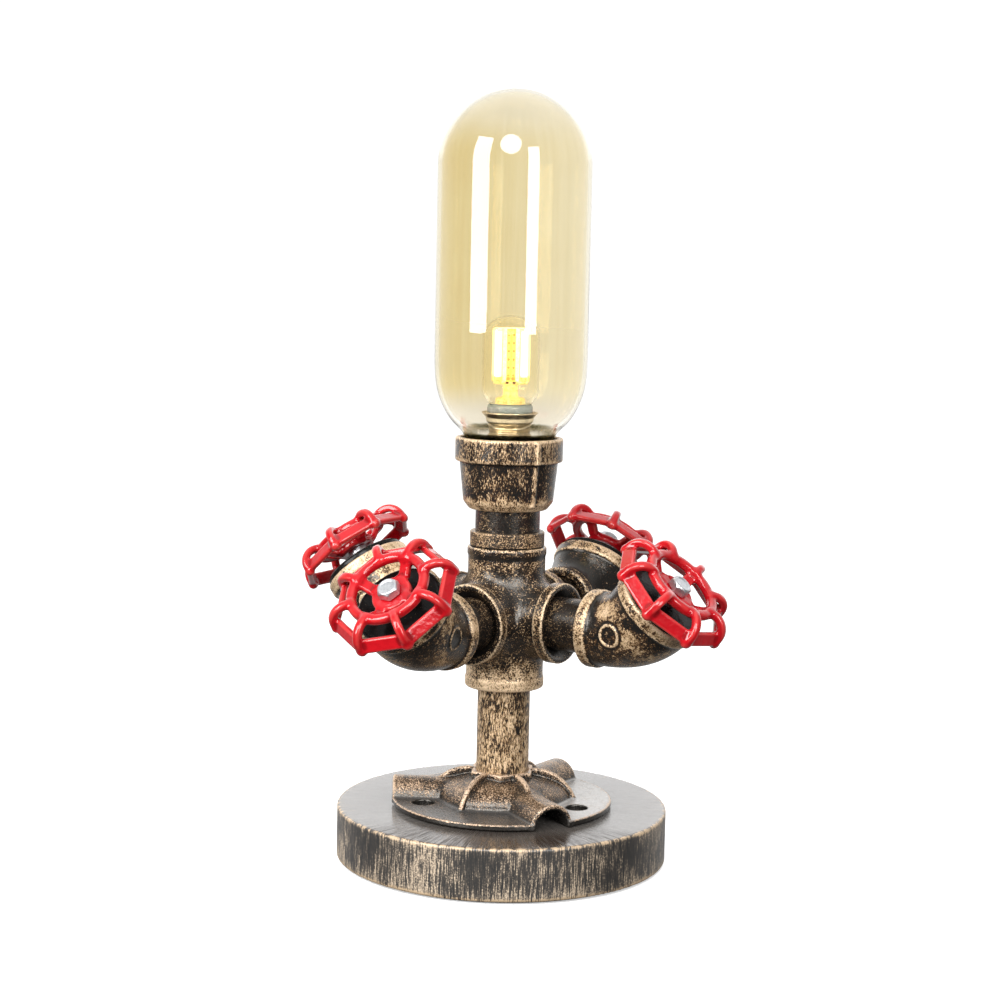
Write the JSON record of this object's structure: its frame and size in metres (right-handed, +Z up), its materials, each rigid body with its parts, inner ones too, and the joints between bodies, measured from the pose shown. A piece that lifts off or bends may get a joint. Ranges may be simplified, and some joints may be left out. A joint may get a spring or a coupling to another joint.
{
  "type": "pipe table lamp",
  "caption": "Table lamp of cast pipe fittings: round base, flange and stem, a six-way cross with upturned elbows and red handwheels, and an amber glass capsule shade over a small LED bulb.",
  "frame": {"origin": "centre of the underside of the foot pad, on the axis of the stem", "axes": "+Z up along the stem; the four side arms lie along +X, -Y, -X and +Y, and the front of the lamp is between +X and -Y"},
  "size_m": [0.1951, 0.196, 0.3096],
  "materials": {
    "bronze_wood": "turned wood disc, antique bronze paint brushed over black",
    "foot_felt": "black felt",
    "black_rubber": "matte",
    "white_plastic": "matte",
    "zinc_steel": "bright zinc plate",
    "bronze_flange": "antique bronze, dry-brushed gold over black",
    "bronze_pipe": "antique bronze, dry-brushed gold over black",
    "bronze_fitting": "antique bronze, dry-brushed gold over black",
    "bronze_collar": "antique bronze, dry-brushed gold over black",
    "bronze_reducer": "antique bronze, dry-brushed gold over black",
    "black_iron": "black with faint bronze rub",
    "amber_glass": "clear amber, polished",
    "black_bakelite": "gloss",
    "brass": "polished",
    "bulb_brass": "polished",
    "bulb_plastic": "gloss",
    "bulb_glass": "clear, polished",
    "bulb_white": "matte",
    "led_yellow": "lit phosphor",
    "wire_brown": "PVC",
    "wire_blue": "PVC",
    "black_gloss": "gloss black",
    "red_enamel": "gloss red enamel"
  },
  "bodies": {
    "lamp_frame": {"base_disc": "bronze_wood", "foot_pad": "foot_felt", "cord_grommet": "black_rubber", "terminal_block": "white_plastic", "stem_washer": "zinc_steel", "stem_locknut": "zinc_steel", "floor_flange": "bronze_flange", "stem_pipe": "bronze_pipe", "six_way_cross": "bronze_fitting", "wheel_bolts": "zinc_steel", "wheel_spacers": "zinc_steel", "lock_collar": "bronze_collar", "upper_nipple": "black_iron", "bell_reducer": "bronze_reducer", "holder_disc": "zinc_steel", "holder_tube": "zinc_steel", "holder_nut": "zinc_steel", "lampholder_body": "black_bakelite", "lampholder_shell": "brass", "centre_contact": "brass", "live_wire": "wire_brown", "neutral_wire": "wire_blue", "nipple_front_right": "black_iron", "elbow_front_right": "bronze_fitting", "plug_front_right": "black_gloss", "nipple_front_left": "black_iron", "elbow_front_left": "bronze_fitting", "plug_front_left": "black_gloss", "nipple_back_left": "black_iron", "elbow_back_left": "bronze_fitting", "plug_back_left": "black_gloss", "nipple_back_right": "black_iron", "elbow_back_right": "bronze_fitting", "plug_back_right": "black_gloss"},
    "shade_seat": {"glass_seat_ring": "black_rubber"},
    "shade": {"glass_shade": "amber_glass"},
    "bulb": {"bulb_cap": "bulb_brass", "bulb_neck": "bulb_plastic", "bulb_envelope": "bulb_glass", "bulb_stem": "bulb_white", "led_strips": "led_yellow"},
    "wheel_front_right": {"handwheel_front_right": "red_enamel"},
    "wheel_front_left": {"handwheel_front_left": "red_enamel"},
    "wheel_back_left": {"handwheel_back_left": "red_enamel"},
    "wheel_back_right": {"handwheel_back_right": "red_enamel"}
  },
  "joints": [
    {"name": "turn_front_right_wheel", "type": "hinge", "parent": "lamp_frame", "child": "wheel_front_right", "pos_m": [0.07685, 0, 0.11695], "axis": [0.7071, 0, 0.7071], "continuous": true},
    {"name": "turn_front_left_wheel", "type": "hinge", "parent": "lamp_frame", "child": "wheel_front_left", "pos_m": [0, -0.07685, 0.11695], "axis": [0, -0.7071, 0.7071], "continuous": true},
    {"name": "turn_back_left_wheel", "type": "hinge", "parent": "lamp_frame", "child": "wheel_back_left", "pos_m": [-0.07722, 0, 0.12043], "axis": [-0.6494, 0, 0.7604], "continuous": true},
    {"name": "turn_back_right_wheel", "type": "hinge", "parent": "lamp_frame", "child": "wheel_back_right", "pos_m": [0, 0.07777, 0.11994], "axis": [0, 0.6691, 0.7431], "continuous": true},
    {"name": "shade_lift", "type": "slide", "parent": "lamp_frame", "child": "shade_seat", "axis": [0, 0, 1], "range_m": [0, 0.06]},
    {"name": "shade_turn", "type": "hinge", "parent": "shade_seat", "child": "shade", "pos_m": [0, 0, 0.168], "axis": [0, 0, 1], "continuous": true},
    {"name": "bulb_pull", "type": "slide", "parent": "lamp_frame", "child": "bulb", "axis": [0, 0, 1], "range_m": [0, 0.028]}
  ]
}
